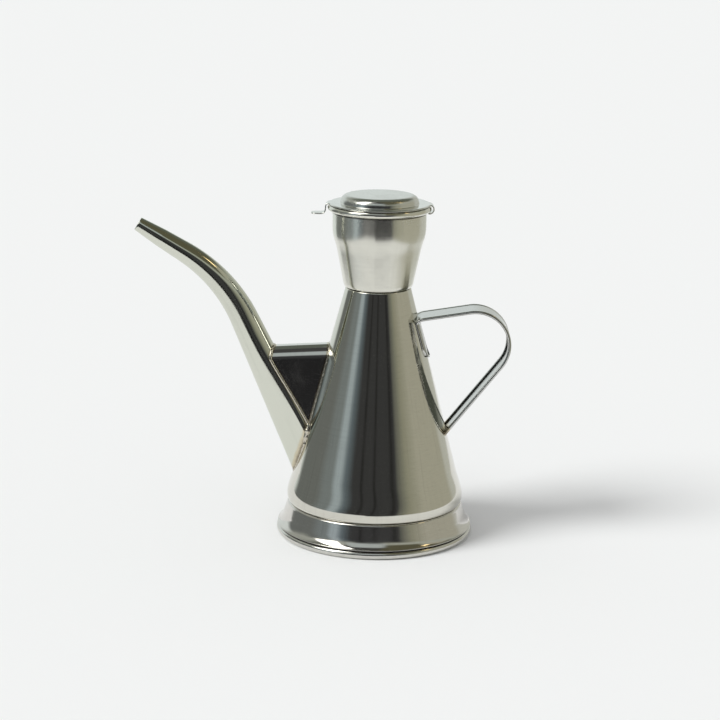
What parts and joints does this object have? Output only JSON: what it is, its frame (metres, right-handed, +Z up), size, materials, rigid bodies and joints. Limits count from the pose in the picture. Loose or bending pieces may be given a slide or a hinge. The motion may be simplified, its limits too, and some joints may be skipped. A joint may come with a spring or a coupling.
{
  "type": "oil dispenser",
  "caption": "Conical sheet-steel oil dispenser with a flared foot, filler cup, hooked lid, long bent spout with a folded brace, and a strap handle.",
  "frame": {"origin": "middle of the base plate's flat underside, on the axis of the tank", "axes": "+Z up along the tank's axis, spout towards -X, handle towards +X"},
  "size_m": [0.189, 0.1, 0.174],
  "materials": {
    "base_steel": "polished stainless steel, fine turning lines",
    "foot_steel": "mirror-polished stainless steel",
    "tank_steel": "mirror-polished stainless steel, faint lengthwise streaks",
    "cup_steel": "satin-polished stainless steel",
    "lid_steel": "polished stainless steel",
    "spout_steel": "polished stainless steel, straw-coloured heat tint at the root",
    "brace_steel": "mirror-polished stainless steel",
    "strap_steel": "satin-polished stainless steel"
  },
  "bodies": {
    "can": {"base_plate": "base_steel", "foot_ring": "foot_steel", "tank_shell": "tank_steel", "filler_cup": "cup_steel", "spout_tube": "spout_steel", "spout_brace": "brace_steel", "handle_strap": "strap_steel"},
    "lid": {"lid": "lid_steel"}
  },
  "joints": [
    {"name": "lid_hinge", "type": "hinge", "parent": "can", "child": "lid", "pos_m": [0.02411, 0, 0.16504], "axis": [0, 1, 0], "range_deg": [0, 95]}
  ]
}
